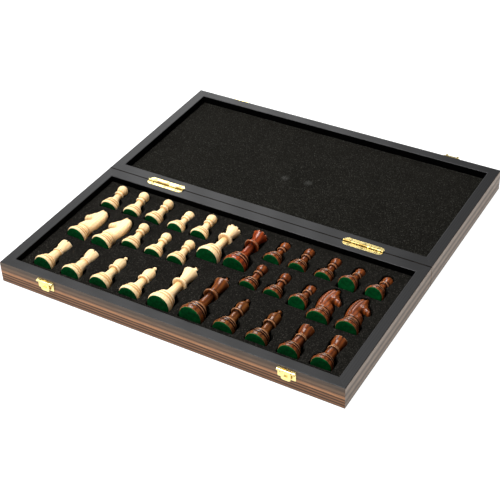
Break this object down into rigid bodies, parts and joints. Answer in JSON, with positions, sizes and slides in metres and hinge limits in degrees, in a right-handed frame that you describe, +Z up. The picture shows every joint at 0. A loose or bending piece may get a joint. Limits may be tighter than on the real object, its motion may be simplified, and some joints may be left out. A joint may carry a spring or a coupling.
{
  "type": "folding chess case",
  "caption": "Folding wooden chess case with brass hinges and hook latches, a padded lid, and a tray whose fitted lining holds light and dark turned chessmen.",
  "frame": {"origin": "on the table under the hinge line, half way along it, with the case open flat", "axes": "+X along the hinge line to the right, +Y from the tray's front towards the lid's far edge, +Z up"},
  "size_m": [0.4, 0.4086, 0.0323],
  "materials": {
    "stained_rail": "satin",
    "border_veneer": "satin",
    "light_veneer": "satin",
    "dark_veneer": "satin",
    "brass": "polished",
    "charcoal_foam": "matte",
    "boxwood": "satin",
    "rosewood": "gloss"
  },
  "bodies": {
    "tray": {"tray_left_rail": "stained_rail", "tray_front_rail": "stained_rail", "tray_right_rail": "stained_rail", "tray_hinge_rail": "stained_rail", "tray_panel": "border_veneer", "tray_dark_squares": "dark_veneer", "tray_light_squares": "light_veneer", "tray_lining": "charcoal_foam", "tray_left_leaf": "brass", "tray_right_leaf": "brass", "hinge_pins": "brass", "latch_plates": "brass", "latch_axles": "brass"},
    "lid": {"lid_left_rail": "stained_rail", "lid_far_rail": "stained_rail", "lid_right_rail": "stained_rail", "lid_hinge_rail": "stained_rail", "lid_panel": "border_veneer", "lid_dark_squares": "dark_veneer", "lid_light_squares": "light_veneer", "lid_pad": "charcoal_foam", "lid_left_leaf": "brass", "lid_right_leaf": "brass", "lid_catches": "brass"},
    "left_tongue": {"left_tongue": "brass"},
    "right_tongue": {"right_tongue": "brass"},
    "light_king": {"light_king": "boxwood"},
    "light_queen": {"light_queen": "boxwood"},
    "light_rook_1": {"light_rook_1": "boxwood"},
    "light_rook_2": {"light_rook_2": "boxwood"},
    "light_bishop_1": {"light_bishop_1": "boxwood"},
    "light_bishop_2": {"light_bishop_2": "boxwood"},
    "light_knight_1": {"light_knight_1": "boxwood"},
    "light_knight_2": {"light_knight_2": "boxwood"},
    "light_pawn_1": {"light_pawn_1": "boxwood"},
    "light_pawn_2": {"light_pawn_2": "boxwood"},
    "light_pawn_3": {"light_pawn_3": "boxwood"},
    "light_pawn_4": {"light_pawn_4": "boxwood"},
    "light_pawn_5": {"light_pawn_5": "boxwood"},
    "light_pawn_6": {"light_pawn_6": "boxwood"},
    "light_pawn_7": {"light_pawn_7": "boxwood"},
    "light_pawn_8": {"light_pawn_8": "boxwood"},
    "dark_king": {"dark_king": "rosewood"},
    "dark_queen": {"dark_queen": "rosewood"},
    "dark_rook_1": {"dark_rook_1": "rosewood"},
    "dark_rook_2": {"dark_rook_2": "rosewood"},
    "dark_bishop_1": {"dark_bishop_1": "rosewood"},
    "dark_bishop_2": {"dark_bishop_2": "rosewood"},
    "dark_knight_1": {"dark_knight_1": "rosewood"},
    "dark_knight_2": {"dark_knight_2": "rosewood"},
    "dark_pawn_1": {"dark_pawn_1": "rosewood"},
    "dark_pawn_2": {"dark_pawn_2": "rosewood"},
    "dark_pawn_3": {"dark_pawn_3": "rosewood"},
    "dark_pawn_4": {"dark_pawn_4": "rosewood"},
    "dark_pawn_5": {"dark_pawn_5": "rosewood"},
    "dark_pawn_6": {"dark_pawn_6": "rosewood"},
    "dark_pawn_7": {"dark_pawn_7": "rosewood"},
    "dark_pawn_8": {"dark_pawn_8": "rosewood"}
  },
  "joints": [
    {"name": "lid_hinge", "type": "hinge", "parent": "tray", "child": "lid", "pos_m": [0, 0, 0.02515], "axis": [-1, 0, 0], "range_deg": [-180, 0]},
    {"name": "left_latch", "type": "hinge", "parent": "tray", "child": "left_tongue", "pos_m": [-0.14, -0.2026, 0.0217], "axis": [1, 0, 0], "range_deg": [-180, 0]},
    {"name": "right_latch", "type": "hinge", "parent": "tray", "child": "right_tongue", "pos_m": [0.14, -0.2026, 0.0217], "axis": [1, 0, 0], "range_deg": [-180, 0]},
    {"name": "light_king_lift", "type": "slide", "parent": "tray", "child": "light_king", "axis": [0, 0, 1], "range_m": [0, 0.06]},
    {"name": "light_queen_lift", "type": "slide", "parent": "tray", "child": "light_queen", "axis": [0, 0, 1], "range_m": [0, 0.06]},
    {"name": "light_rook_1_lift", "type": "slide", "parent": "tray", "child": "light_rook_1", "axis": [0, 0, 1], "range_m": [0, 0.06]},
    {"name": "light_rook_2_lift", "type": "slide", "parent": "tray", "child": "light_rook_2", "axis": [0, 0, 1], "range_m": [0, 0.06]},
    {"name": "light_bishop_1_lift", "type": "slide", "parent": "tray", "child": "light_bishop_1", "axis": [0, 0, 1], "range_m": [0, 0.06]},
    {"name": "light_bishop_2_lift", "type": "slide", "parent": "tray", "child": "light_bishop_2", "axis": [0, 0, 1], "range_m": [0, 0.06]},
    {"name": "light_knight_1_lift", "type": "slide", "parent": "tray", "child": "light_knight_1", "axis": [0, 0, 1], "range_m": [0, 0.06]},
    {"name": "light_knight_2_lift", "type": "slide", "parent": "tray", "child": "light_knight_2", "axis": [0, 0, 1], "range_m": [0, 0.06]},
    {"name": "light_pawn_1_lift", "type": "slide", "parent": "tray", "child": "light_pawn_1", "axis": [0, 0, 1], "range_m": [0, 0.06]},
    {"name": "light_pawn_2_lift", "type": "slide", "parent": "tray", "child": "light_pawn_2", "axis": [0, 0, 1], "range_m": [0, 0.06]},
    {"name": "light_pawn_3_lift", "type": "slide", "parent": "tray", "child": "light_pawn_3", "axis": [0, 0, 1], "range_m": [0, 0.06]},
    {"name": "light_pawn_4_lift", "type": "slide", "parent": "tray", "child": "light_pawn_4", "axis": [0, 0, 1], "range_m": [0, 0.06]},
    {"name": "light_pawn_5_lift", "type": "slide", "parent": "tray", "child": "light_pawn_5", "axis": [0, 0, 1], "range_m": [0, 0.06]},
    {"name": "light_pawn_6_lift", "type": "slide", "parent": "tray", "child": "light_pawn_6", "axis": [0, 0, 1], "range_m": [0, 0.06]},
    {"name": "light_pawn_7_lift", "type": "slide", "parent": "tray", "child": "light_pawn_7", "axis": [0, 0, 1], "range_m": [0, 0.06]},
    {"name": "light_pawn_8_lift", "type": "slide", "parent": "tray", "child": "light_pawn_8", "axis": [0, 0, 1], "range_m": [0, 0.06]},
    {"name": "dark_king_lift", "type": "slide", "parent": "tray", "child": "dark_king", "axis": [0, 0, 1], "range_m": [0, 0.06]},
    {"name": "dark_queen_lift", "type": "slide", "parent": "tray", "child": "dark_queen", "axis": [0, 0, 1], "range_m": [0, 0.06]},
    {"name": "dark_rook_1_lift", "type": "slide", "parent": "tray", "child": "dark_rook_1", "axis": [0, 0, 1], "range_m": [0, 0.06]},
    {"name": "dark_rook_2_lift", "type": "slide", "parent": "tray", "child": "dark_rook_2", "axis": [0, 0, 1], "range_m": [0, 0.06]},
    {"name": "dark_bishop_1_lift", "type": "slide", "parent": "tray", "child": "dark_bishop_1", "axis": [0, 0, 1], "range_m": [0, 0.06]},
    {"name": "dark_bishop_2_lift", "type": "slide", "parent": "tray", "child": "dark_bishop_2", "axis": [0, 0, 1], "range_m": [0, 0.06]},
    {"name": "dark_knight_1_lift", "type": "slide", "parent": "tray", "child": "dark_knight_1", "axis": [0, 0, 1], "range_m": [0, 0.06]},
    {"name": "dark_knight_2_lift", "type": "slide", "parent": "tray", "child": "dark_knight_2", "axis": [0, 0, 1], "range_m": [0, 0.06]},
    {"name": "dark_pawn_1_lift", "type": "slide", "parent": "tray", "child": "dark_pawn_1", "axis": [0, 0, 1], "range_m": [0, 0.06]},
    {"name": "dark_pawn_2_lift", "type": "slide", "parent": "tray", "child": "dark_pawn_2", "axis": [0, 0, 1], "range_m": [0, 0.06]},
    {"name": "dark_pawn_3_lift", "type": "slide", "parent": "tray", "child": "dark_pawn_3", "axis": [0, 0, 1], "range_m": [0, 0.06]},
    {"name": "dark_pawn_4_lift", "type": "slide", "parent": "tray", "child": "dark_pawn_4", "axis": [0, 0, 1], "range_m": [0, 0.06]},
    {"name": "dark_pawn_5_lift", "type": "slide", "parent": "tray", "child": "dark_pawn_5", "axis": [0, 0, 1], "range_m": [0, 0.06]},
    {"name": "dark_pawn_6_lift", "type": "slide", "parent": "tray", "child": "dark_pawn_6", "axis": [0, 0, 1], "range_m": [0, 0.06]},
    {"name": "dark_pawn_7_lift", "type": "slide", "parent": "tray", "child": "dark_pawn_7", "axis": [0, 0, 1], "range_m": [0, 0.06]},
    {"name": "dark_pawn_8_lift", "type": "slide", "parent": "tray", "child": "dark_pawn_8", "axis": [0, 0, 1], "range_m": [0, 0.06]}
  ]
}
